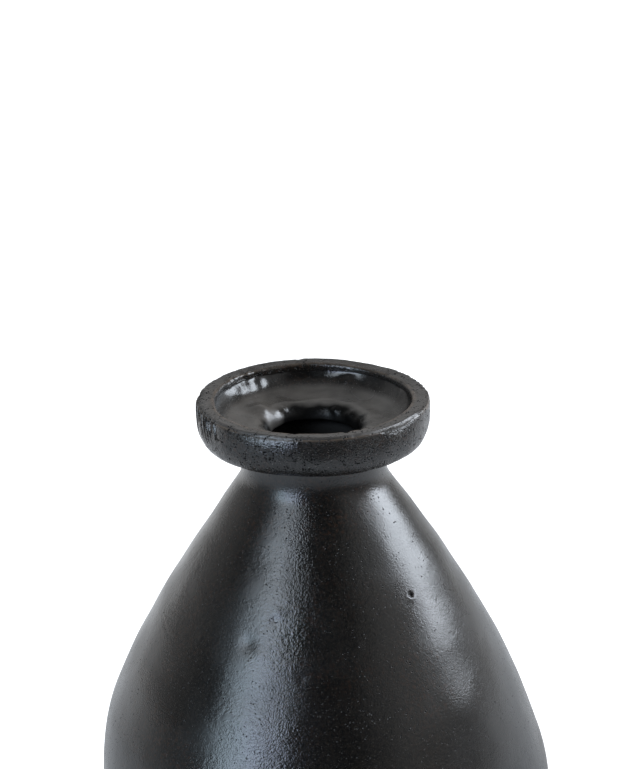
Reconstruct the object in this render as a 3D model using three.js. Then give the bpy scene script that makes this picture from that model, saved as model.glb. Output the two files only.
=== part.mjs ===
// A barro negro jar: a hand-built black clay pot with a wide low belly, a tall conical shoulder,
// a short narrow neck and a thick turned-over collar around a dished mouth.
//
// It is put together the way such a jar is raised on the potter's plate. A base bowl is pressed from
// a lump, coils are laid on it one by one to raise the belly and the shoulder, a neck coil closes it,
// and the mouth is a flared dish with one last thick coil for its rim. Each of those is a mesh of
// its own. The joints between them are bevels whose two neighbours share the same two edges, and
// only the neck ends square, under the flat of the dish.
//
// Millimetres, +Z up. The origin is the centre of the foot, on the surface that the jar stands on.

import * as THREE from 'three';

// Body
const HEIGHT = 255;             // foot to lip
const BELLY_RADIUS = 97.5;
const BELLY_HEIGHT = 74;        // the widest level
const FOOT_RADIUS = 52;
const FOOT_ANGLE = 32;          // degrees that the underside rises at the foot's edge
const RECESS_RADIUS = 38;       // the foot's middle is pushed up, so the jar stands on a flat ring
const RECESS_DEPTH = 2;
const WALL = 6.5;               // of the bowl, the coils and the neck
const FLOOR = 8;                // thickness at the middle of the floor, above the recess
const BASE_REACH = 45;          // how far up the wall, along its outside, the pressed base goes
const WALL_COILS = 8;           // coils between the base and the neck

// Neck
const NECK_RADIUS = 29.5;       // outside
const NECK_STRAIGHT = 9;        // straight part under the collar
const NECK_FILLET = 16;         // radius of the hollow between neck and shoulder
const SHOULDER_ANGLE = 33.5;    // degrees that the shoulder leans out where the hollow ends

// Collar and mouth. Its face bulges to COLLAR_RADIUS; the other radii are set in from there.
const COLLAR_RADIUS = 48;
const COLLAR_HEIGHT = 18;
const COLLAR_TUCK = 6;          // how far the face draws in at the collar's foot, and over what height
const TUCK_HEIGHT = 10;
const LIP_ROUND = 0.8;          // how far it draws in at the lip, and over what height
const LIP_ROUND_HEIGHT = 2;
const LIP_WIDTH = 5.4;          // flat top of the lip
const LIP_EASE = 1.2;           // radius of the lip's inner edge
const RIM_DEPTH = 3;            // depth of the upright wall under the lip, down to the dish
const RIM_JOINT_DROP = 4;       // the rim coil's joint lies this much lower outside than inside
const DISH_DEPTH = 10;          // lip to the edge of the throat
const DISH_BEND = 3;            // how far in from that wall the dish levels out
const THROAT_RADIUS = 18;       // the mouth's narrowest, where the dish drops into the neck
const THROAT_EASE = 7;          // radius that rounds the dish over into the throat

// Shape of the two body curves: their handles as shares of the height that each one climbs
const BOWL_FULLNESS = { foot: 0.45, belly: 0.5 };
const SHOULDER_FULLNESS = { belly: 0.25, neck: 0.63 };

const BEVEL = 4;                // each joint's inner edge is this far up the wall from its outer edge
const SEGMENTS = 48;            // around the axis
const BASE_STEPS = 4;           // along the outlines of the base, a coil, the neck and the dish
const COIL_STEPS = 3;
const NECK_STEPS = 5;
const DISH_STEPS = 6;
const ROUND_STEPS = 4;

const radians = THREE.MathUtils.degToRad;
const at = (radius, height) => new THREE.Vector2(radius, height);

// Levels that follow from the sizes above
const collarBase = HEIGHT - COLLAR_HEIGHT;
const neckBase = collarBase - NECK_STRAIGHT;
const boreRadius = NECK_RADIUS - WALL;
const lipOuterRadius = COLLAR_RADIUS - LIP_ROUND;
const mouthRadius = lipOuterRadius - LIP_WIDTH - LIP_EASE;

const potMaterial = new THREE.MeshStandardMaterial({ color: 0x1d1b1a, roughness: 0.38, metalness: 0 });
const collarMaterial = new THREE.MeshStandardMaterial({ color: 0x221f1d, roughness: 0.45, metalness: 0 });

// Outline of the wall's outside, from the foot's edge to the underside of the collar.
// Radius is x and height is y, here and in every outline below.
function wallCurves() {
  const foot = at(FOOT_RADIUS, 0);
  const belly = at(BELLY_RADIUS, BELLY_HEIGHT);
  const lean = radians(SHOULDER_ANGLE);
  const rise = radians(FOOT_ANGLE);
  const hollow = at(NECK_RADIUS + NECK_FILLET, neckBase);
  const shoulderTop = at(hollow.x - NECK_FILLET * Math.cos(lean), hollow.y - NECK_FILLET * Math.sin(lean));
  const climb = shoulderTop.y - BELLY_HEIGHT;

  const footHandle = BOWL_FULLNESS.foot * BELLY_HEIGHT;
  const bowl = new THREE.CubicBezierCurve(
    foot,
    at(foot.x + footHandle * Math.cos(rise), footHandle * Math.sin(rise)),
    at(belly.x, belly.y - BOWL_FULLNESS.belly * BELLY_HEIGHT),
    belly,
  );
  const neckHandle = SHOULDER_FULLNESS.neck * climb;
  const shoulder = new THREE.CubicBezierCurve(
    belly,
    at(belly.x, belly.y + SHOULDER_FULLNESS.belly * climb),
    at(shoulderTop.x + neckHandle * Math.sin(lean), shoulderTop.y - neckHandle * Math.cos(lean)),
    shoulderTop,
  );
  const fillet = new THREE.EllipseCurve(
    hollow.x, hollow.y, NECK_FILLET, NECK_FILLET, Math.PI + lean, Math.PI, true,
  );
  const straight = new THREE.LineCurve(at(NECK_RADIUS, neckBase), at(NECK_RADIUS, collarBase));

  const path = new THREE.CurvePath();
  path.curves.push(bowl, shoulder, fillet, straight);
  return path;
}

const wall = wallCurves();
const [, shoulderEnd, , wallLength] = wall.getCurveLengths();

// A point of the wall at a distance along its outside, set back into the clay by depth.
function wallPoint(distance, depth = 0) {
  const t = THREE.MathUtils.clamp(distance / wallLength, 0, 1);
  const nearby = 1e-4;
  const ahead = wall.getPoint(Math.min(t + nearby, 1));
  const behind = wall.getPoint(Math.max(t - nearby, 0));
  const along = ahead.sub(behind).normalize();
  const point = wall.getPoint(t);
  return at(point.x - depth * along.y, point.y + depth * along.x);
}

// Points between two distances along the wall, both ends included.
function wallStretch(from, to, steps, depth = 0) {
  return Array.from({ length: steps + 1 }, (_, i) => wallPoint(from + ((to - from) * i) / steps, depth));
}

// Points of an elliptical arc, both ends included. Angles are in degrees, 0 outwards and 90 up.
function arc(centre, width, height, from, to) {
  return Array.from({ length: ROUND_STEPS + 1 }, (_, i) => {
    const angle = radians(from + ((to - from) * i) / ROUND_STEPS);
    return at(centre.x + width * Math.cos(angle), centre.y + height * Math.sin(angle));
  });
}

// One turned piece of clay. The outline runs up the outside and down the inside.
function turned(name, outline, material) {
  const geometry = new THREE.LatheGeometry(outline, SEGMENTS);
  geometry.rotateX(Math.PI / 2);
  const mesh = new THREE.Mesh(geometry, material);
  mesh.name = name;
  return mesh;
}

// A band of wall between two distances along it. A joint's inner edge is a bevel further on.
function wallBand(name, from, to, steps, lastBevel = BEVEL) {
  const outside = wallStretch(from, to, steps);
  const inside = wallStretch(to + lastBevel, from + BEVEL, steps, WALL);
  return turned(name, [...outside, ...inside, outside[0]], potMaterial);
}

// The pressed base: a pushed-up foot, the first of the wall and a flat floor.
function baseBowl() {
  const recess = [at(0, RECESS_DEPTH), at(RECESS_RADIUS, 0)];
  const outside = wallStretch(0, BASE_REACH, BASE_STEPS);
  const floorMiddle = RECESS_DEPTH + FLOOR;
  const inside = wallStretch(BASE_REACH + BEVEL, 0, 2 * BASE_STEPS, WALL).filter((p) => p.y > floorMiddle);
  return turned('base_bowl', [...recess, ...outside, ...inside, at(0, floorMiddle)], potMaterial);
}

// The coils that raise the belly and the shoulder, from the base to the hollow of the neck.
function wallCoils() {
  const pitch = (shoulderEnd - BASE_REACH) / WALL_COILS;
  return Array.from({ length: WALL_COILS }, (_, i) =>
    wallBand(`wall_coil_${i + 1}`, BASE_REACH + i * pitch, BASE_REACH + (i + 1) * pitch, COIL_STEPS));
}

// The neck coil ends square under the collar, which sits on it.
const neckCoil = () => wallBand('neck_coil', shoulderEnd, wallLength, NECK_STEPS, 0);

// The joint between the two pieces of the collar: its outer edge on the bulge, and its inner edge
// at the foot of the wall under the lip.
const rimFoot = at(mouthRadius, HEIGHT - RIM_DEPTH);
const rimSeam = at(COLLAR_RADIUS, rimFoot.y - RIM_JOINT_DROP);

// The flared dish that carries the rim: flat underneath, hollowed on top, and drawn in to a throat
// that is narrower than the neck's bore below it.
function mouthDish() {
  const tuck = at(COLLAR_RADIUS - COLLAR_TUCK, collarBase + TUCK_HEIGHT);
  const face = [...arc(tuck, COLLAR_TUCK, TUCK_HEIGHT, -90, 0), rimSeam];
  const throatEdge = at(THROAT_RADIUS + THROAT_EASE, HEIGHT - DISH_DEPTH - THROAT_EASE);
  const dishEnd = at(throatEdge.x, throatEdge.y + THROAT_EASE);
  const hollow = new THREE.QuadraticBezierCurve(rimFoot, at(rimFoot.x - DISH_BEND, dishEnd.y), dishEnd);
  const roundOver = arc(throatEdge, THROAT_EASE, THROAT_EASE, 90, 180).slice(1);
  const underside = at(boreRadius, collarBase);
  const seat = at(NECK_RADIUS, collarBase);
  const outline = [underside, seat, ...face, ...hollow.getPoints(DISH_STEPS), ...roundOver, underside];
  return turned('mouth_dish', outline, collarMaterial);
}

// The last thick coil, pressed onto the dish's edge: rounded outside, flat on top, upright inside.
function rimCoil() {
  const shoulder = at(lipOuterRadius, HEIGHT - LIP_ROUND_HEIGHT);
  const face = arc(shoulder, LIP_ROUND, LIP_ROUND_HEIGHT, 0, 90);
  const lipEdge = arc(at(mouthRadius + LIP_EASE, HEIGHT - LIP_EASE), LIP_EASE, LIP_EASE, 90, 180);
  return turned('rim_coil', [rimSeam, ...face, ...lipEdge, rimFoot, rimSeam], collarMaterial);
}

const pot = new THREE.Group();
pot.name = 'barro_negro_pot';
pot.add(baseBowl(), ...wallCoils(), neckCoil(), mouthDish(), rimCoil());

export default pot;
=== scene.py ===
"""A barro negro jar in soft window light: burnished black clay, with a thick collar round its mouth.

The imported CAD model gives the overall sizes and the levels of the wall's joints. Each of its clay
sections is shown by a fine mesh of its own. All of them are cut from one continuous surface, so that they
meet without a seam, as fired clay does, and the marks of the hand are relief on that surface.
Lengths are in millimetres until a mesh is made, and angles are in degrees, 0 along +X and -90
towards the camera.
"""

import itertools
import math

import bpy
import numpy as np
from mathutils import Euler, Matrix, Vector


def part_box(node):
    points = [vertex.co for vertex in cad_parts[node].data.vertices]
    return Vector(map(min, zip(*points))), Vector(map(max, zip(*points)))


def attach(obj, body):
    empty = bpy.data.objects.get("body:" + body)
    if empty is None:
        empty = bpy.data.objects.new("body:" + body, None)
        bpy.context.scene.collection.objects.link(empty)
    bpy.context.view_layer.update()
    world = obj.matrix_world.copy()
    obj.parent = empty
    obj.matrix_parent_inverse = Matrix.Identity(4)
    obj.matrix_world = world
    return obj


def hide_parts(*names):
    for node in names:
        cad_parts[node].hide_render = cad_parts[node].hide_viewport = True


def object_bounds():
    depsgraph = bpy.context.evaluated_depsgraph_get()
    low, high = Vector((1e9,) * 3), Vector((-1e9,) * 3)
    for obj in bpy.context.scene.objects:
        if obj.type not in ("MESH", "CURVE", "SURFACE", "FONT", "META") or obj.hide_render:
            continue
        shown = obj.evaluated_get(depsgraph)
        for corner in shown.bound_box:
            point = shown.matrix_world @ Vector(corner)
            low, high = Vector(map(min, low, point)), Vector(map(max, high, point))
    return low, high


MM = 0.001

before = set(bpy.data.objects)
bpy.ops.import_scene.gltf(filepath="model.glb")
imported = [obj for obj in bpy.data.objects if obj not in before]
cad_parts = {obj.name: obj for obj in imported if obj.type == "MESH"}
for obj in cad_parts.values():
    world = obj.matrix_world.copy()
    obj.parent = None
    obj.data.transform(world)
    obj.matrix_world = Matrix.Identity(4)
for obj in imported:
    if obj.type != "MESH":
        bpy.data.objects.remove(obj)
cad_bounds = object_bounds()

# ---------------------------------------------------------------------------------------------
# Sizes: what the frame doesn't give repeats the CAD model
# ---------------------------------------------------------------------------------------------

def node_base(node):
    """The lowest level of a CAD node."""
    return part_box(node)[0].z / MM


def node_radius(node):
    """The widest radius of a CAD node."""
    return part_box(node)[1].x / MM


WALL_COILS = sorted((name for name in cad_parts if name.startswith("wall_coil")), key=node_base)

HEIGHT = cad_bounds[1].z / MM
BELLY_RADIUS = cad_bounds[1].x / MM
COLLAR_RADIUS = node_radius("rim_coil")
COLLAR_BASE = node_base("mouth_dish")

BELLY_HEIGHT = 74
FOOT_RADIUS = 52
FOOT_ANGLE = 32
RECESS_RADIUS = 38
RECESS_DEPTH = 2
WALL = 6.5
FLOOR = 8
NECK_RADIUS = 29.5
NECK_STRAIGHT = 9
NECK_FILLET = 16
SHOULDER_ANGLE = 33.5
BOWL_HANDLES = (0.45, 0.5)        # at the foot and at the belly, as shares of the height climbed
SHOULDER_HANDLES = (0.25, 0.63)   # at the belly and at the neck
BEVEL = 4                         # a joint's inner edge lies this much further along the wall

COLLAR_TUCK = 6
TUCK_HEIGHT = 10
LIP_ROUND = 0.8
LIP_ROUND_HEIGHT = 2
LIP_WIDTH = 5.4
LIP_EASE = 1.2
RIM_DEPTH = 3
RIM_JOINT_DROP = 4
DISH_DEPTH = 10
DISH_BEND = 3
THROAT_RADIUS = 18
THROAT_EASE = 7

BORE_RADIUS = NECK_RADIUS - WALL
LIP_OUTER_RADIUS = COLLAR_RADIUS - LIP_ROUND
LIP_INNER_RADIUS = LIP_OUTER_RADIUS - LIP_WIDTH
MOUTH_RADIUS = LIP_INNER_RADIUS - LIP_EASE

# Fineness of the meshes
SEGMENTS = 864                    # around the axis
WALL_STEP = 0.72                  # between rows of the outer wall
COLLAR_STEP = 0.36
DISH_STEP = 0.5
SOFFIT_STEP = 1.2                 # under the collar, and down through the throat
HIDDEN_STEP = 3.2                 # under the foot and deep inside


# ---------------------------------------------------------------------------------------------
# Outline: one line in (radius, height), from under the foot, up the outside, over the lip, down
# the throat and the inside to the middle of the floor
# ---------------------------------------------------------------------------------------------

def unit(angle):
    """Unit vector at an angle: from outwards to up in the outline, or from X to Y around the axis."""
    return np.array([math.cos(math.radians(angle)), math.sin(math.radians(angle))])


def bezier(*handles, count=400):
    """Points of a Bezier curve of any degree."""
    t = np.linspace(0, 1, count)[:, None]
    degree = len(handles) - 1
    return sum(
        math.comb(degree, i) * (1 - t) ** (degree - i) * t**i * np.asarray(p, float)
        for i, p in enumerate(handles)
    )


def arc(centre, width, height, start, end, count=60):
    """Points of an elliptical arc."""
    angles = np.radians(np.linspace(start, end, count))[:, None]
    return np.asarray(centre, float) + np.hstack([width * np.cos(angles), height * np.sin(angles)])


def chain(*runs):
    """Joins runs of points end to end, keeping each shared end once."""
    points = np.vstack([np.atleast_2d(run) for run in runs])
    apart = np.linalg.norm(np.diff(points, axis=0), axis=1) > 1e-6
    return points[np.concatenate([[True], apart])]


def lengths_along(points):
    """Distance of each point from the first, along the line."""
    steps = np.linalg.norm(np.diff(points, axis=0), axis=1)
    return np.concatenate([[0], np.cumsum(steps)])


def points_along(points, distances):
    """Points of a line at given distances along it."""
    reached = lengths_along(points)
    return np.stack([np.interp(distances, reached, points[:, i]) for i in (0, 1)], axis=-1)


def offset_inwards(points, depth):
    """The line set back to its left, into the clay when the line climbs the outside."""
    along = np.gradient(points, axis=0)
    along /= np.linalg.norm(along, axis=1)[:, None]
    return points + depth * np.stack([-along[:, 1], along[:, 0]], axis=1)


def wall_line():
    """The outside of the wall, from the foot's edge to the underside of the collar."""
    foot = np.array([FOOT_RADIUS, 0])
    belly = np.array([BELLY_RADIUS, BELLY_HEIGHT])
    hollow = np.array([NECK_RADIUS + NECK_FILLET, COLLAR_BASE - NECK_STRAIGHT])
    shoulder_top = hollow - NECK_FILLET * unit(SHOULDER_ANGLE)
    climb = shoulder_top[1] - BELLY_HEIGHT
    up = np.array([0, 1])
    bowl = bezier(
        foot,
        foot + BOWL_HANDLES[0] * BELLY_HEIGHT * unit(FOOT_ANGLE),
        belly - BOWL_HANDLES[1] * BELLY_HEIGHT * up,
        belly,
    )
    shoulder = bezier(
        belly,
        belly + SHOULDER_HANDLES[0] * climb * up,
        shoulder_top + SHOULDER_HANDLES[1] * climb * unit(SHOULDER_ANGLE - 90),
        shoulder_top,
    )
    fillet = arc(hollow, NECK_FILLET, NECK_FILLET, 180 + SHOULDER_ANGLE, 180)
    return chain(bowl, shoulder, fillet, (NECK_RADIUS, COLLAR_BASE))


def resampled(points, step, cuts=()):
    """Points about one step apart along a line, with a point exactly at each cut (a distance)."""
    length = lengths_along(points)[-1]
    stops = [0, *sorted(cuts), length]
    where = []
    for start, end in zip(stops, stops[1:]):
        count = max(1, round((end - start) / step))
        where.extend(np.linspace(start, end, count, endpoint=False))
    where.append(length)
    return points_along(points, where)


wall = wall_line()
wall_distance = lengths_along(wall)
wall_levels = [node_base(name) for name in [*WALL_COILS, "neck_coil"]]
wall_joints = list(np.interp(wall_levels, wall[:, 1], wall_distance))

inside = offset_inwards(wall, WALL)
inside[-1] = (BORE_RADIUS, COLLAR_BASE)


def inner_wall():
    """The inside of the wall from the collar down to the floor, and its joints' distances along it."""
    floor_level = RECESS_DEPTH + FLOOR
    kept = inside[inside[:, 1] > floor_level]
    kept_distance = wall_distance[inside[:, 1] > floor_level]
    edges = [np.interp(d + BEVEL, kept_distance, lengths_along(kept)) for d in wall_joints]
    total = lengths_along(kept)[-1]
    return kept[::-1], [total - edge for edge in reversed(edges)]


inner_line, inner_joints = inner_wall()
rim_foot = np.array([MOUTH_RADIUS, HEIGHT - RIM_DEPTH])
rim_seam = np.array([COLLAR_RADIUS, rim_foot[1] - RIM_JOINT_DROP])
throat_edge = np.array([THROAT_RADIUS + THROAT_EASE, HEIGHT - DISH_DEPTH - THROAT_EASE])
dish_end = throat_edge + np.array([0, THROAT_EASE])

collar_tuck = np.array([COLLAR_RADIUS - COLLAR_TUCK, COLLAR_BASE + TUCK_HEIGHT])
soffit_line = np.array([(NECK_RADIUS, COLLAR_BASE), (collar_tuck[0], COLLAR_BASE)])
collar_foot_line = chain(arc(collar_tuck, COLLAR_TUCK, TUCK_HEIGHT, -90, 0), rim_seam)
rim_line = chain(
    rim_seam,
    arc((LIP_OUTER_RADIUS, HEIGHT - LIP_ROUND_HEIGHT), LIP_ROUND, LIP_ROUND_HEIGHT, 0, 90),
    arc((LIP_INNER_RADIUS, HEIGHT - LIP_EASE), LIP_EASE, LIP_EASE, 90, 180),
    rim_foot,
)
dish_line = chain(
    bezier(rim_foot, (rim_foot[0] - DISH_BEND, dish_end[1]), dish_end),
    arc(throat_edge, THROAT_EASE, THROAT_EASE, 90, 180),
)
throat_line = np.array([dish_line[-1], (BORE_RADIUS, COLLAR_BASE)])
underside_line = np.array([(RECESS_RADIUS / 20, RECESS_DEPTH), (RECESS_RADIUS, 0), (FOOT_RADIUS, 0)])
floor_line = np.array([inner_line[-1], (RECESS_RADIUS / 20, RECESS_DEPTH + FLOOR)])

STRETCHES = [
    ("underside", resampled(underside_line, HIDDEN_STEP)),
    ("wall", resampled(wall, WALL_STEP, wall_joints)),
    ("soffit", resampled(soffit_line, SOFFIT_STEP)),
    ("collar_foot", resampled(collar_foot_line, COLLAR_STEP)),
    ("rim", resampled(rim_line, COLLAR_STEP)),
    ("dish", resampled(dish_line, DISH_STEP)),
    ("throat", resampled(throat_line, SOFFIT_STEP)),
    ("inside", resampled(inner_line, HIDDEN_STEP, inner_joints)),
    ("floor", resampled(floor_line, HIDDEN_STEP)),
]


# ---------------------------------------------------------------------------------------------
# Surface: the outline turned about the axis, as a grid of rows (along it) and columns (around)
# ---------------------------------------------------------------------------------------------

rows = chain(*(points for _, points in STRETCHES))
row_distance = lengths_along(rows)
azimuth = np.arange(SEGMENTS) * 2 * math.pi / SEGMENTS


def row_at(place):
    """The row nearest to a place in the outline."""
    return int(np.argmin(np.linalg.norm(rows - place, axis=1)))


# First and last row of each stretch
SPANS = {name: (row_at(points[0]), row_at(points[-1])) for name, points in STRETCHES}


def smooth_step(t):
    """0 below 0, 1 above 1, and an even curve between."""
    t = np.clip(t, 0, 1)
    return t * t * (3 - 2 * t)


def within(stretch, fade=3.0):
    """Weight per row: 1 inside a stretch and falling to 0 over a short distance past its ends."""
    first, last = SPANS[stretch]
    before = (row_distance - row_distance[first]) / fade + 1
    after = (row_distance[last] - row_distance) / fade + 1
    return smooth_step(np.minimum(before, after))[:, None]


def near_row(place, reach):
    """Weight per row that falls off away from one place on the outline."""
    return np.exp(-(((row_distance - row_distance[row_at(place)]) / reach) ** 2))[:, None]


def turned(points):
    """Grid of points in space for rows of (radius, height)."""
    radius, height = points[:, :1], points[:, 1:]
    level = np.broadcast_to(height, (len(points), SEGMENTS))
    return np.stack([radius * np.cos(azimuth), radius * np.sin(azimuth), level], axis=-1)


def grid_normals(grid):
    """Unit normals of a grid that closes on itself around the axis."""
    along = np.gradient(grid, axis=0)
    around = np.roll(grid, -1, axis=1) - np.roll(grid, 1, axis=1)
    normal = np.cross(around, along)
    return normal / np.linalg.norm(normal, axis=-1, keepdims=True)


NOISE_PERIOD = 256                # wavelengths before the noise repeats
NOISE_GAIN = 1.6                  # brings it to about -1 to 1


def noise(points, wavelength, seed):
    """Smooth gradient noise, about -1 to 1, with one bump or hollow in each half wavelength."""
    random = np.random.default_rng(seed)
    gradients = random.normal(size=(NOISE_PERIOD, 3))
    gradients /= np.linalg.norm(gradients, axis=1, keepdims=True)
    order = random.permutation(NOISE_PERIOD)
    scaled = points / wavelength
    cell = np.floor(scaled).astype(int)
    part = scaled - cell
    fade = part**3 * (part * (part * 6 - 15) + 10)
    total = 0
    for corner in itertools.product((0, 1), repeat=3):
        key = order[(cell[..., 0] + corner[0]) % NOISE_PERIOD]
        key = order[(key + cell[..., 1] + corner[1]) % NOISE_PERIOD]
        key = order[(key + cell[..., 2] + corner[2]) % NOISE_PERIOD]
        weight = np.prod(np.where(corner, fade, 1 - fade), axis=-1)
        total = total + weight * np.sum(gradients[key] * (part - corner), axis=-1)
    return NOISE_GAIN * total


base = turned(rows)
base_radius = np.hypot(base[..., 0], base[..., 1])
base_height = base[..., 2]


def unevenness(layers):
    """Sum of noises over the grid: (amount, wavelength, seed) each."""
    return sum(amount * noise(base, wavelength, seed) for amount, wavelength, seed in layers)


def turn_from(angle):
    """Degrees from an azimuth to each column, -180 to 180."""
    return (np.degrees(azimuth) - angle + 180) % 360 - 180


def round_azimuth(angle, half_width):
    """Weight per column that falls off on both sides of an azimuth."""
    return np.exp(-((turn_from(angle) / half_width) ** 2))


def ring_point(angle, radius, height):
    """The point at an azimuth, a distance from the axis and a height."""
    return np.array([*(radius * unit(angle)), height])


def surface_point(angle, height):
    """The point of the outer wall or collar at an azimuth and a height."""
    first, last = SPANS["wall"][0], SPANS["rim"][0]
    return ring_point(angle, np.interp(height, rows[first:last, 1], rows[first:last, 0]), height)


def bump(place, radius):
    """Gaussian hill of height 1 about a point, over the whole grid."""
    apart = np.sum((base - place) ** 2, axis=-1)
    return np.exp(-apart / radius**2)


# The pot isn't quite round: below the shoulder it swells to one side and is flatter on the other,
# and the shoulder itself is a little fuller on that side.
SWELL = 3.0
SWELL_TOP = 119
SWELL_FULL = 78
SHOULDER_SWELL = 0.6
SHOULDER_SWELL_TOP = 220
OVAL, THREE_SIDED = 0.25, 0.15    # how far it is from round otherwise
OVAL_PHASE = 0.9                  # radians
TWIST_HEIGHT = 35                 # climb for each radian of the three-sided part's phase
FADE_HEIGHT = 30                  # climb over which these set in at the foot and fade at the top


def out_of_round():
    """Radial shift of the whole wall, outside and inside alike."""
    low = np.clip(base_height / SWELL_FULL, 0, 1)
    swell = SWELL * smooth_step((SWELL_TOP - base_height) / (SWELL_TOP - SWELL_FULL)) * low
    from_foot = np.clip(base_height / FADE_HEIGHT, 0, 1)
    from_lip = np.clip((HEIGHT - base_height) / FADE_HEIGHT, 0, 1)
    oval = OVAL * np.cos(2 * azimuth + OVAL_PHASE)
    three_sided = THREE_SIDED * np.cos(3 * azimuth + base_height / TWIST_HEIGHT)
    shoulder = SHOULDER_SWELL * np.clip((SHOULDER_SWELL_TOP - base_height) / FADE_HEIGHT, 0, 1)
    one_sided = shoulder * (1 + np.cos(azimuth)) / 2
    return swell * np.cos(azimuth) + from_foot * from_lip * (oval + three_sided + one_sided)


COIL_WAVE = 0.13


def coil_waves():
    """Slight waves where the coils were drawn together, uneven round the pot."""
    pitch = np.mean(np.diff(wall_joints))
    start = row_distance[SPANS["wall"][0]] + wall_joints[0]
    wander = 0.9 * noise(base, 70, 11)
    strength = 0.55 + 0.45 * noise(base, 55, 12)
    turns = (row_distance[:, None] - start) / pitch + wander / 4
    return -COIL_WAVE * strength * np.cos(2 * math.pi * turns)


# Unevenness, as layers of noise: amount, wavelength and seed
SCRAPED_WALL = [(0.24, 42, 21), (0.07, 17, 22), (0.040, 8, 23)]
HAND_ROLLED_COLLAR = [(0.26, 26, 31), (0.20, 9, 32), (0.055, 3.5, 33), (0.022, 1.7, 34)]
WIPED_DISH = [(0.38, 14, 51), (0.20, 7, 52), (0.03, 2.6, 53)]

NECK_FLARE = 0.9
NECK_FLARE_REACH = 4.0


def neck_flare():
    """Clay drawn out at the top of the neck, where the collar was luted on."""
    below = row_distance[SPANS["wall"][1]] - row_distance
    return np.where(below >= 0, NECK_FLARE * np.exp(-((below / NECK_FLARE_REACH) ** 2)), 0)[:, None]


# Single marks on the wall: azimuth, height, radius and depth, which is below 0 for a lump
WALL_DENTS = [
    (-116, 171.5, 3.2, 0.34),
    (-111, 168.5, 2.2, -0.12),
    (-137, 168.0, 1.3, -0.16),
    (-106, 184.0, 2.2, -0.20),
    (-107, 180.5, 2.0, 0.14),
    (-75, 172.0, 1.8, -0.14),
    (-95, 162.0, 1.6, 0.16),
    (-122, 197.0, 6.0, 0.18),
    (-40, 205.0, 7.0, 0.15),
    (35, 180.0, 5.0, 0.20),
    (80, 140.0, 6.0, 0.25),
    (140, 196.0, 5.5, 0.20),
    (170, 110.0, 7.0, 0.25),
    (-10, 120.0, 5.0, 0.18),
]
WALL_PITS = [
    (-46.6, 184.0, 0.95, 0.75),
    (62, 158.0, 0.9, 0.6),
    (118, 121.0, 1.1, 0.7),
    (-160, 92.0, 1.0, 0.6),
    (15, 70.0, 1.0, 0.6),
]
PIT_EDGE = 0.45                   # how high the clay is pushed up beside a pit, as a share of its depth


def wall_marks():
    """The wall's single dents, lumps and pits."""
    relief = np.zeros(base_radius.shape)
    for angle, height, radius, depth in WALL_DENTS:
        relief -= depth * bump(surface_point(angle, height), radius)
    for angle, height, radius, depth in WALL_PITS:
        place = surface_point(angle, height)
        relief += PIT_EDGE * depth * bump(place - (0, 0, 0.8 * radius), 1.7 * radius)
        relief -= (1 + PIT_EDGE) * depth * bump(place, radius)
    return relief


# Where the top of the collar's face leans in towards the lip: azimuth, half width, reach down, amount.
# The first is all round, and the others are presses of the thumb.
ALL_ROUND = 1e6
FACE_LEANS = [
    (0, ALL_ROUND, 3.0, 0.20),
    (-88, 40, 9.0, 0.9),
    (-117, 14, 5.5, 1.2),
    (-43, 13, 9.0, 2.2),
    (-152, 13, 7.0, 1.0),
    (150, 25, 6.0, 0.2),
]
LIP_EDGE = (LIP_OUTER_RADIUS + 0.6, HEIGHT - 0.6)             # the outer one, in the outline
LIP_FALL = 0.4                                                # from the outer edge to the inner one
LIP_RISES = [(128, 38, 0.6), (85, 24, 0.5), (-20, 25, 0.2)]   # azimuth, half width, height


def face_lean():
    """The collar's face, leant in towards the lip."""
    outside = np.clip(base_radius - LIP_OUTER_RADIUS + 1, 0, 1)
    relief = np.zeros(base_radius.shape)
    for angle, half_width, reach, amount in FACE_LEANS:
        near_lip = np.clip((base_height - HEIGHT + reach) / reach, 0, 1)
        relief -= amount * near_lip**2 * round_azimuth(angle, half_width)
    return relief * outside


def lip_level():
    """Rise and fall of the lip, which is uneven round the pot and slopes down towards the mouth."""
    across = np.clip((LIP_OUTER_RADIUS - base_radius) / LIP_WIDTH, 0, 1)
    rise = sum(high * round_azimuth(angle, half_width) for angle, half_width, high in LIP_RISES)
    lip_share = np.clip((base_height - rim_foot[1]) / (HEIGHT - rim_foot[1]), 0, 1)
    return (rise - LIP_FALL * across) * lip_share


# Grooves pressed across the lip's outer edge: zone's first and last azimuth, spacing, depth, reach
GROOVE_ZONES = [
    (170, 213, 2.4, 1.3, 7.0),
    (130, 176, 3.6, 0.30, 3.0),
    (-8, 42, 3.1, 0.38, 3.5),
    (60, 120, 6.5, 0.16, 2.5),
]
GROOVE_SLANT = 0.45               # sideways, for each millimetre along the outline


def lip_grooves():
    """Grooves that run over the lip's outer edge and down the collar's face."""
    random = np.random.default_rng(41)
    away = row_distance[:, None] - row_distance[row_at(LIP_EDGE)]
    relief = np.zeros(base_radius.shape)
    for first, last, spacing, depth, reach in GROOVE_ZONES:
        turn = math.degrees(spacing / COLLAR_RADIUS)
        for angle in np.arange(first, last, turn):
            centre = angle + random.uniform(-0.3, 0.3) * turn
            width = spacing * random.uniform(0.22, 0.36)
            down = reach * random.uniform(0.6, 1.2)
            across = np.radians(turn_from(centre)) * COLLAR_RADIUS + GROOVE_SLANT * away
            along = np.exp(-((away / np.where(away < 0, down, 0.4 * down)) ** 2))
            relief -= depth * random.uniform(0.5, 1.2) * np.exp(-((across / width) ** 2)) * along
    return relief


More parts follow.
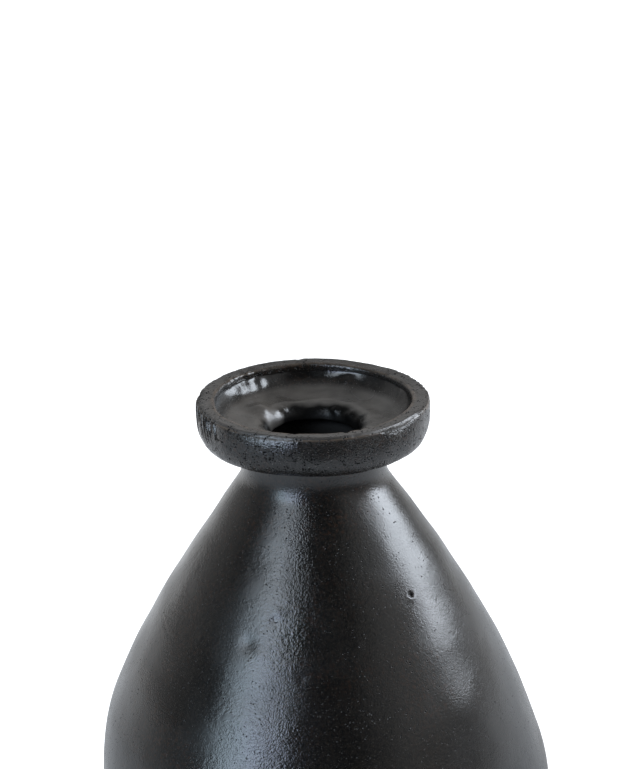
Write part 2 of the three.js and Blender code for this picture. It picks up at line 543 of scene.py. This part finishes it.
# Small bites out of the lip's edges: azimuth, radius from the axis, size, depth
LIP_CHIPS = [
    (-72, 41.6, 1.3, 0.7),
    (-56, 41.5, 1.5, 0.8),
    (-64, 41.4, 0.8, 0.4),
    (-70, 46.9, 1.2, 0.5),
    (-128, 41.6, 1.0, 0.4),
    (-100, 41.5, 0.8, 0.3),
    (40, 41.6, 1.2, 0.5),
    (97, 46.8, 1.4, 0.5),
    (150, 41.4, 1.3, 0.5),
]


def lip_chips():
    """Bites out of the lip, just under its top."""
    relief = np.zeros(base_radius.shape)
    for angle, radius, size, depth in LIP_CHIPS:
        relief -= depth * bump(ring_point(angle, radius, HEIGHT - 0.5), size)
    return relief


# Lumps and smears on the collar and in the mouth: azimuth, radius from the axis, depth below the lip,
# size, and how far it stands out, which is below 0 for a hollow
COLLAR_LUMPS = [
    (-5, 44.0, 15.0, 7.0, -1.1),
    (128, 20.5, 11.6, 1.4, 0.8),
    (61, 19.6, 12.4, 2.0, 0.8),
    (36, 19.2, 13.0, 2.2, 0.8),
    (8, 20.0, 12.0, 2.6, 0.7),
    (-30, 19.0, 13.0, 2.2, 0.8),
    (-72, 18.6, 14.0, 2.6, 0.7),
    (-118, 19.0, 13.0, 2.4, 0.8),
    (-152, 19.2, 12.8, 2.0, 0.7),
    (152, 25.5, 9.8, 4.6, 2.2),
    (103, 26.0, 10.0, 4.5, -0.4),
    (70, 30.0, 9.5, 6.0, 0.4),
    (140, 32.0, 9.0, 6.0, 0.4),
    (125, 39.6, 5.6, 2.8, 0.8),
    (133, 39.6, 5.6, 2.8, 0.8),
    (141, 39.6, 5.6, 2.8, 0.7),
    (127, 41.5, 1.6, 2.4, -0.8),
    (136, 41.5, 1.6, 2.4, -0.8),
    (67, 38.5, 6.4, 3.2, 1.1),
    (20, 40.0, 5.5, 3.0, 0.6),
    (-170, 40.0, 5.5, 4.0, 0.7),
]


def collar_lumps():
    """Lumps and hollows, which reach as far along the clay as their size."""
    return sum(
        out * bump(ring_point(angle, radius, HEIGHT - down), size)
        for angle, radius, down, size, out in COLLAR_LUMPS
    )


RIDGE_PITCH = 11
RIDGE_HEIGHT = 0.35


def inner_ridges():
    """Finger ridges and rough scraping on the inside, which was never burnished."""
    wander = 1.5 * noise(base, 40, 61)
    turn = 2 * math.pi * row_distance[:, None] / RIDGE_PITCH + 2 * azimuth + wander
    return RIDGE_HEIGHT * np.cos(turn) + 0.4 * noise(base, 14, 62)


UNDERFOOT_WEAR = 0.15


def underfoot():
    """Worn and uneven, but nowhere lower than the foot's ring."""
    return UNDERFOOT_WEAR * (noise(base, 9, 71) - 1)


def total_relief():
    """Height of the surface above the turned outline, along its normal."""
    collar = np.clip(within("collar_foot", 2) + within("rim", 1), 0, 1)
    mouth = np.clip(within("dish", 2) + within("throat", 2), 0, 1)
    return (
        within("wall") * (coil_waves() + unevenness(SCRAPED_WALL) + wall_marks())
        + neck_flare()
        + collar * unevenness(HAND_ROLLED_COLLAR)
        + face_lean()
        + lip_grooves()
        + lip_chips()
        + mouth * unevenness(WIPED_DISH)
        + collar_lumps()
        + within("inside", 8) * inner_ridges()
        + within("underside") * underfoot()
    )


def shaped_surface():
    """The turned outline with its relief, out of round and with its uneven lip."""
    height = total_relief()
    grid = base + height[..., None] * grid_normals(base)
    shift = out_of_round()
    grid[..., 0] += shift * np.cos(azimuth)
    grid[..., 1] += shift * np.sin(azimuth)
    grid[..., 2] += lip_level()
    return grid


surface = shaped_surface()
surface[..., 2] = np.maximum(surface[..., 2], 0)    # the foot rests on the floor, at 0
surface_normals = grid_normals(surface)


# ---------------------------------------------------------------------------------------------
# Pieces: each CAD node's share of the surface, closed by the joints with its neighbours
# ---------------------------------------------------------------------------------------------

def piece_spans():
    """First and last row of each piece's outside and inside."""
    outer = [row_at(place) for place in points_along(wall, wall_joints)]
    inner = [row_at(place) for place in points_along(inner_line, inner_joints[::-1])]
    outer.append(row_at((NECK_RADIUS, COLLAR_BASE)))
    inner.append(row_at((BORE_RADIUS, COLLAR_BASE)))
    spans = {"base_bowl": [(0, outer[0]), (inner[0], len(rows) - 1)]}
    for i, name in enumerate([*WALL_COILS, "neck_coil"]):
        spans[name] = [(outer[i], outer[i + 1]), (inner[i + 1], inner[i])]
    rim_outer, rim_inner = row_at(rim_seam), row_at(rim_foot)
    spans["mouth_dish"] = [(outer[-1], rim_outer), (rim_inner, inner[-1])]
    spans["rim_coil"] = [(rim_outer, rim_inner)]
    return spans


# Masks that the materials read, 0 to 1 at each point of the surface
def worn_edge_and_highlight_mask():
    """The lip's worn edges, plus a painted highlight on them, strongest in front and weakest at the back.
    """
    outer = near_row(LIP_EDGE, 0.7)
    inner = near_row((LIP_INNER_RADIUS - 0.4, HEIGHT - 0.3), 0.9)
    return (0.6 * outer + 0.9 * inner) * (1 + noise(base, 5, 81)) * (0.65 - 0.35 * np.sin(azimuth))


def matt_and_painted_light_mask():
    """Matt clay of the lip's top and the neck; its lighter colour is partly painted light."""
    middle = (LIP_OUTER_RADIUS - LIP_WIDTH / 2, HEIGHT)
    # painted light: the lip's top lighter in front and at the sides, darkest at the back
    wear_and_light = 0.45 - 0.30 * np.sin(azimuth) + 0.25 * np.cos(azimuth) ** 2 + 0.35 * noise(base, 12, 82)
    # painted light: a lighter band round the neck just under the collar
    neck_painted_light = near_row((NECK_RADIUS, COLLAR_BASE - 3), 6.0) * (0.22 + 0.12 * noise(base, 8, 86))
    return near_row(middle, 0.6 * LIP_WIDTH) * wear_and_light + neck_painted_light


DISH_FLOOR_RADIUS = 37.5
# Painted shade in and round the throat
PAINTED_SHADE_RADIUS = 22.8
PAINTED_SHADE_DEPTH = 55                   # it ends this far below the lip
PAINTED_SHADE_FADE = 20
SHADE_GAP = (150, 20, 4.5)            # where the painted shade stops short: azimuth, half width, how far in


def mouth_mask():
    """The whole mouth: the dish and the throat."""
    return np.clip(within("dish", 1) + within("throat", 1), 0, 1)


def dish_painted_reflection_mask():
    """The dish's floor, a patchy painted reflection. Its upright edge stays as dark as the rest."""
    patchy = 0.75 + 0.5 * noise(base, 18, 83) + 0.2 * noise(base, 5, 84)
    return within("dish", 1) * np.clip((DISH_FLOOR_RADIUS - base_radius) / 3, 0, 1) * patchy


def painted_shade_mask():
    """Painted shade in the throat, ragged at its edge, and weaker in the corner between dish and rim."""
    ragged = base_radius + 1.6 * noise(base, 5, 85)
    angle, half_width, gap = SHADE_GAP
    edge = PAINTED_SHADE_RADIUS - gap * round_azimuth(angle, half_width)
    fading = np.clip((base_height - HEIGHT + PAINTED_SHADE_DEPTH) / PAINTED_SHADE_FADE, 0, 1)
    throat = np.clip((edge - ragged) / 2.5, 0, 1) * fading
    corner = within("dish", 1) * np.clip((ragged - DISH_FLOOR_RADIUS) / 2, 0, 1)
    return np.maximum(throat, 0.6 * corner)


COARSE_STRIP = (-100, 11)         # where the stone pressed least: azimuth, half width
COLLAR_SMOOTHNESS = 0.1
MOUTH_SMOOTHNESS = 0.85
WALL_SMOOTHNESS = 0.75


def smooth_mask():
    """How far the grain was rubbed down: most of the wall and the mouth, but hardly the collar."""
    body = WALL_SMOOTHNESS * (1 - round_azimuth(*COARSE_STRIP)) + 0.25 * noise(base, 30, 87)
    below_collar = np.clip(COLLAR_BASE - base_height, 0, 1)
    outside = below_collar * body + (1 - below_collar) * COLLAR_SMOOTHNESS
    return np.maximum(outside, MOUTH_SMOOTHNESS * mouth_mask())


def raw_and_painted_shade_mask():
    """What was never burnished: rougher, and painted near-black as painted shade."""
    return within("inside", 12) + within("floor") + within("underside")


MASKS = {
    name: np.clip(mask + np.zeros(SEGMENTS), 0, 1)
    for name, mask in [
        ("raw_and_painted_shade", raw_and_painted_shade_mask()),
        ("dish", dish_painted_reflection_mask()),
        ("mouth", mouth_mask()),
        ("smooth", smooth_mask()),
        ("painted_shade", painted_shade_mask()),
        ("matt_and_painted_light", matt_and_painted_light_mask()),
        ("edge", worn_edge_and_highlight_mask()),
    ]
}


def ring_faces(row_count, closed):
    """Quads between neighbouring rows of one piece, and from its last row to its first if closed."""
    column = np.arange(SEGMENTS)
    following = (column + 1) % SEGMENTS
    low = np.arange(row_count if closed else row_count - 1)[:, None]
    high = (low + 1) % row_count
    quads = [low * SEGMENTS + column, low * SEGMENTS + following,
             high * SEGMENTS + following, high * SEGMENTS + column]
    return np.stack(quads, axis=-1).reshape(-1, 4)


def pole_faces(row, pole, facing_up):
    """Triangles from a row to a point on the axis."""
    column = np.arange(SEGMENTS)
    near, far = row * SEGMENTS + column, row * SEGMENTS + (column + 1) % SEGMENTS
    order = (near, far) if facing_up else (far, near)
    return np.stack([*order, np.full(SEGMENTS, pole)], axis=-1)


def make_mesh(name, points, faces_by_size, normals, masks):
    """A smooth mesh with the masks as its attributes. Each array of faces has corners in its columns."""
    mesh = bpy.data.meshes.new(name)
    loops = np.concatenate([faces.ravel() for faces in faces_by_size])
    sizes = np.concatenate([np.full(len(faces), faces.shape[1]) for faces in faces_by_size])
    mesh.vertices.add(len(points))
    mesh.vertices.foreach_set("co", (points * MM).astype(np.float32).ravel())
    mesh.loops.add(len(loops))
    mesh.loops.foreach_set("vertex_index", loops.astype(np.int32))
    mesh.polygons.add(len(sizes))
    mesh.polygons.foreach_set("loop_start", np.concatenate([[0], np.cumsum(sizes)[:-1]]).astype(np.int32))
    mesh.update(calc_edges=True)
    mesh.polygons.foreach_set("use_smooth", np.ones(len(sizes), bool))
    for mask, values in masks.items():
        attribute = mesh.attributes.new(mask, "FLOAT", "POINT")
        attribute.data.foreach_set("value", values.astype(np.float32))
    mesh.normals_split_custom_set_from_vertices(normals)
    mesh.validate()
    return mesh


def make_piece(node, spans, material):
    """One clay section as an object that stands for its CAD node."""
    chosen = np.concatenate([np.arange(first, last + 1) for first, last in spans])
    has_poles = node == "base_bowl"
    points = surface[chosen].reshape(-1, 3)
    normals = surface_normals[chosen].reshape(-1, 3)
    masks = {name: values[chosen].ravel() for name, values in MASKS.items()}
    faces = [ring_faces(len(chosen), closed=not has_poles)]
    if has_poles:
        below, above = (0, 0, RECESS_DEPTH), (0, 0, RECESS_DEPTH + FLOOR)
        pole = len(points)
        points = np.vstack([points, below, above])
        normals = np.vstack([normals, (0, 0, -1), (0, 0, 1)])
        masks = {name: np.append(values, values[:1].repeat(2)) for name, values in masks.items()}
        faces.append(pole_faces(0, pole, facing_up=False))
        faces.append(pole_faces(len(chosen) - 1, pole + 1, facing_up=True))
    piece = bpy.data.objects.new(f"{node}_clay", make_mesh(node, points, faces, normals, masks))
    bpy.context.scene.collection.objects.link(piece)
    piece.data.materials.append(material)
    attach(piece, "root")
    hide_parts(node)
    return piece


# ---------------------------------------------------------------------------------------------
# Materials
# ---------------------------------------------------------------------------------------------

class Nodes:
    """Short calls to make and link the nodes of one material or world."""

    def __init__(self, tree):
        self.tree = tree
        tree.nodes.clear()

    def add(self, kind, inputs=None, **settings):
        node = self.tree.nodes.new(kind)
        for name, value in settings.items():
            setattr(node, name, value)
        for name, value in (inputs or {}).items():
            self.put(value, node.inputs[name])
        return node

    def put(self, value, socket):
        if isinstance(value, bpy.types.Node):
            value = value.outputs[0]
        if isinstance(value, bpy.types.NodeSocket):
            self.tree.links.new(value, socket)
        else:
            socket.default_value = value

    def math(self, operation, *values):
        node = self.add("ShaderNodeMath", operation=operation)
        for value, socket in zip(values, node.inputs):
            self.put(value, socket)
        return node

    def ramp(self, value, start, end, low=0.0, high=1.0):
        """Smooth change from low to high as value goes from start to end."""
        return self.add(
            "ShaderNodeMapRange",
            {"Value": value, "From Min": start, "From Max": end, "To Min": low, "To Max": high},
            interpolation_type="SMOOTHSTEP",
        )

    def mix(self, share, first, second):
        node = self.add("ShaderNodeMix", data_type="RGBA")
        self.put(share, node.inputs["Factor"])
        self.put(first, node.inputs["A"])
        self.put(second, node.inputs["B"])
        return node.outputs["Result"]

    def speckle(self, place, wavelength, detail=2.0, roughness=0.55):
        """Noise with features about a wavelength apart, in millimetres."""
        return self.add(
            "ShaderNodeTexNoise",
            {"Vector": place, "Scale": 1 / (wavelength * MM), "Detail": detail, "Roughness": roughness},
        )


def grey(level, warmth=0.0):
    """A dark linear grey, warmer if warmth is above 0 and cooler if below."""
    return (level * (1 + warmth), level, level * (1 - warmth), 1)


CLAY_IOR = 1.6
# near-black, as painted shade, for the unburnished inside and underside and the throat
RAW_AND_PAINTED_SHADE_COLOUR = grey(0.004, 0.05)
DISH_PAINTED_REFLECTION_COLOUR = grey(0.098, 0.12)
MATT_AND_PAINTED_LIGHT_COLOUR = grey(0.100, 0.10)
RUST_COLOUR = (0.030, 0.015, 0.009, 1)
# brown of the lip's worn edges, also used as a painted highlight on them in front
WORN_AND_HIGHLIGHT_COLOUR = (0.150, 0.110, 0.080, 1)
PORE_COLOUR = grey(0.003)


def clay(name, body, fleck, roughness, grain, pore_spacing, pore_radius):
    """Smoke-fired clay: body and fleck colours, roughness, relief of its grain, and its pores in mm."""
    material = bpy.data.materials.new(name)
    material.use_nodes = True
    n = Nodes(material.node_tree)
    place = n.add("ShaderNodeTexCoord").outputs["Object"]
    share = {mask: n.add("ShaderNodeAttribute", attribute_name=mask).outputs["Fac"] for mask in MASKS}

    flecks = n.ramp(n.speckle(place, 0.42, detail=1), 0.64, 0.80)
    dust = n.ramp(n.speckle(place, 1.1, detail=4, roughness=0.7), 0.38, 0.66)
    cloud = n.speckle(place, 45, detail=1)
    rust = n.ramp(n.speckle(place, 1.2, detail=4), 0.50, 0.66, 0, 0.8)
    pore_field = n.add("ShaderNodeTexVoronoi", {"Vector": place, "Scale": 1 / (pore_spacing * MM)})
    pore_size = n.ramp(n.speckle(place, 2.6, detail=1), 0.36, 0.62, 0, pore_radius / pore_spacing)
    pore = n.ramp(n.math("SUBTRACT", pore_field.outputs["Distance"], pore_size), -0.06, 0.06, 1, 0)
    pore = n.math("MULTIPLY", pore, n.ramp(share["mouth"], 0.0, 1.0, 1, 0))

    colour = n.mix(dust, PORE_COLOUR, body)
    colour = n.mix(flecks, colour, fleck)
    colour = n.mix(n.math("MULTIPLY", rust, n.ramp(cloud, 0.42, 0.62)), colour, RUST_COLOUR)
    # painted reflection: the dish's floor lighter and warmer, in patches
    colour = n.mix(share["dish"], colour, DISH_PAINTED_REFLECTION_COLOUR)
    # partly painted light: the lighter colour of the lip's top and of the band round the neck
    colour = n.mix(share["matt_and_painted_light"], colour, MATT_AND_PAINTED_LIGHT_COLOUR)
    # painted shade: the throat, the dish's corner, the inside and the underside drawn near-black
    colour = n.mix(n.math("MAXIMUM", share["raw_and_painted_shade"], share["painted_shade"]), colour, RAW_AND_PAINTED_SHADE_COLOUR)
    # worn edges, partly painted highlight: mixed in most strongly in front and least at the back
    colour = n.mix(share["edge"], colour, WORN_AND_HIGHLIGHT_COLOUR)
    # painted shade: the pores drawn near-black, as the shade inside each pinhole
    colour = n.mix(pore, colour, PORE_COLOUR)

    uneven = n.ramp(n.speckle(place, 24, detail=1), 0.3, 0.7, roughness - 0.04, roughness + 0.04)
    rougher = uneven
    for where, more in [(share["smooth"], 0.045), (share["raw_and_painted_shade"], 0.40), (share["matt_and_painted_light"], 0.20), (pore, 0.3)]:
        rougher = n.math("ADD", rougher, n.math("MULTIPLY", where, more))

    crinkled = n.ramp(n.speckle(place, 30, detail=1), 0.46, 0.62, 0.25, 1.5)
    sand = n.math("MULTIPLY", n.speckle(place, 0.5, detail=0), 0.8)
    height = n.math("ADD", n.speckle(place, 0.9, detail=1.5), sand)
    height = n.math("ADD", height, n.math("MULTIPLY", n.speckle(place, 2.2, detail=1), crinkled))
    height = n.math("SUBTRACT", height, n.math("MULTIPLY", pore, 2.0))
    height = n.math("MULTIPLY", height, n.ramp(share["smooth"], 0.0, 1.0, 1.0, 0.35))
    bumped = n.add("ShaderNodeBump", {"Strength": 1.0, "Distance": grain * MM, "Height": height})

    shader = n.add(
        "ShaderNodeBsdfPrincipled",
        {"Base Color": colour, "Roughness": rougher, "IOR": CLAY_IOR, "Normal": bumped},
    )
    # the painted shade in the throat, and the pores, also lose their gloss
    dull = n.math("MAXIMUM", pore, n.ramp(share["painted_shade"], 0.6, 1.0, 0.0, 0.8))
    n.put(n.math("MULTIPLY_ADD", dull, -0.45, 0.5), shader.inputs["Specular IOR Level"])
    n.add("ShaderNodeOutputMaterial", {"Surface": shader})
    return material


burnished_clay = clay(
    "burnished_clay", body=grey(0.011, 0.22), fleck=grey(0.06, 0.10),
    roughness=0.23, grain=0.125, pore_spacing=1.7, pore_radius=0.26,
)
pitted_clay = clay(
    "pitted_clay", body=grey(0.011, 0.22), fleck=grey(0.20, 0.10),
    roughness=0.21, grain=0.16, pore_spacing=0.95, pore_radius=0.36,
)

COLLAR_NODES = ("mouth_dish", "rim_coil")
for node, spans in piece_spans().items():
    is_collar = node in COLLAR_NODES
    section = make_piece(node, spans, pitted_clay if is_collar else burnished_clay)


# ---------------------------------------------------------------------------------------------
# Floor, light and camera
# ---------------------------------------------------------------------------------------------

def make_floor():
    """A wide pale sheet, lit to white where the camera sees it. The clay mirrors it as darker in front."""
    mesh = bpy.data.meshes.new("studio_floor")
    reach = 9.0
    corners = [(-reach, -reach, 0), (reach, -reach, 0), (reach, reach, 0), (-reach, reach, 0)]
    mesh.from_pydata(corners, [], [(0, 1, 2, 3)])
    material = bpy.data.materials.new("pale_floor")
    material.use_nodes = True
    n = Nodes(material.node_tree)
    path = n.add("ShaderNodeLightPath")
    place = n.add("ShaderNodeSeparateXYZ", {"Vector": n.add("ShaderNodeTexCoord").outputs["Object"]})
    across, depth = place.outputs["X"], place.outputs["Y"]
    is_mirrored = path.outputs["Is Glossy Ray"]
    near_side, far_side = n.ramp(across, 0.02, 0.3, 1.0, 0.4), n.ramp(across, 0.5, 1.2, 0.0, 0.5)
    shaded = n.math("ADD", near_side, far_side)
    far = n.ramp(depth, -0.25, 0.9, 0.0, 0.75)
    mirrored = n.math("MULTIPLY", n.math("MULTIPLY", is_mirrored, shaded), far)
    seen = n.math("MULTIPLY", path.outputs["Is Camera Ray"], 0.9)
    glow = n.add("ShaderNodeEmission", {"Strength": n.math("ADD", mirrored, seen)})
    unlit = n.math("MULTIPLY", is_mirrored, n.ramp(depth, -0.60, -0.42, 1.0, 0.0))
    sheet = n.add("ShaderNodeBsdfDiffuse", {"Color": n.mix(unlit, grey(0.8), grey(0.25))})
    both = n.add("ShaderNodeAddShader")
    n.put(glow, both.inputs[0])
    n.put(sheet, both.inputs[1])
    n.add("ShaderNodeOutputMaterial", {"Surface": both})
    mesh.materials.append(material)
    floor = bpy.data.objects.new("studio_floor", mesh)
    bpy.context.scene.collection.objects.link(floor)


def make_world():
    """White all round to the camera; to the clay, dark towards the camera and brighter behind."""
    world = bpy.data.worlds.new("studio")
    bpy.context.scene.world = world
    world.use_nodes = True
    n = Nodes(world.node_tree)
    direction = n.add("ShaderNodeSeparateXYZ", {"Vector": n.add("ShaderNodeTexCoord").outputs["Generated"]})
    across, depth, height = (direction.outputs[axis] for axis in "XYZ")
    behind = n.ramp(depth, -0.35, 0.50, 0.012, 0.40)
    behind = n.math("MULTIPLY", behind, n.ramp(height, 0.55, 0.85, 1.0, 0.35))
    behind = n.math("MULTIPLY", behind, n.ramp(across, 0.1, 0.5, 1.0, 0.45))
    beside = n.math("MULTIPLY", n.ramp(across, 0.3, 0.85, 0.0, 0.5), n.ramp(height, -0.1, 0.27, 0.05, 1.0))
    overhead = n.ramp(height, 0.8, 0.97, 0.0, 0.22)
    ambient = n.math("ADD", n.math("ADD", behind, overhead), beside)
    is_camera = n.add("ShaderNodeLightPath").outputs["Is Camera Ray"]
    strength = n.add("ShaderNodeMix", {"Factor": is_camera, "A": ambient, "B": 1.1})
    background = n.add("ShaderNodeBackground", {"Color": (1, 1, 1, 1), "Strength": strength})
    n.add("ShaderNodeOutputWorld", {"Surface": background})


# Bearing from the camera's side (right is positive), width, low and high angles, distance, radiance, colour
WINDOWS = {
    "left_window_outer": (-49.5, 13, 2, 26, 1.5, 7.2, (0.65, 0.84, 0.97)),
    "left_window_inner": (-36.5, 13, 2, 26, 1.5, 8.8, (0.66, 0.76, 1.0)),
    "left_window_high": (-43, 30, 26, 52, 1.5, 4.6, (0.80, 0.90, 1.0)),
    "right_window": (105, 32, 12, 46, 1.4, 10.0, (0.84, 0.91, 1.0)),
}


def make_window(name, bearing, width, low, high, distance, radiance, colour):
    """A soft window as a rectangular lamp that faces the pot."""
    bottom = distance * math.tan(math.radians(low))
    top = distance * math.tan(math.radians(high))
    spread = 2 * distance * math.tan(math.radians(width / 2))
    light = bpy.data.lights.new(name, "AREA")
    light.shape = "RECTANGLE"
    light.size = spread
    light.size_y = top - bottom
    light.energy = radiance * math.pi * spread * (top - bottom)
    light.color = colour
    lamp = bpy.data.objects.new(name, light)
    aim_height = 0.6 * HEIGHT * MM
    turn = math.radians(bearing)
    lamp.location = (distance * math.sin(turn), -distance * math.cos(turn), aim_height + (bottom + top) / 2)
    lamp.rotation_euler = Euler((math.pi / 2, 0, turn), "XYZ")
    lamp.visible_camera = False
    bpy.context.scene.collection.objects.link(lamp)


def make_camera():
    """Looks down on the lip from the front, a little turned about its own axis."""
    lens, sight_distance = 82.2, 0.720
    sight_angle, pitch, yaw, roll = (math.radians(a) for a in (20.0, 19.61, 0.09, -1.0))
    camera_data = bpy.data.cameras.new("camera")
    camera_data.lens = lens
    camera_data.sensor_width = 36
    camera = bpy.data.objects.new("camera", camera_data)
    lip_centre = Vector((0, 0, HEIGHT * MM))
    back = Vector((0, -math.cos(sight_angle), math.sin(sight_angle)))
    camera.location = lip_centre + sight_distance * back
    aim = Euler((math.pi / 2 - pitch, 0, yaw), "XYZ").to_matrix()
    camera.rotation_euler = (aim @ Euler((0, 0, roll)).to_matrix()).to_euler()
    bpy.context.scene.collection.objects.link(camera)
    bpy.context.scene.camera = camera


make_floor()
make_world()
for name, window in WINDOWS.items():
    make_window(name, *window)
make_camera()
bpy.context.scene.view_settings.view_transform = "Standard"
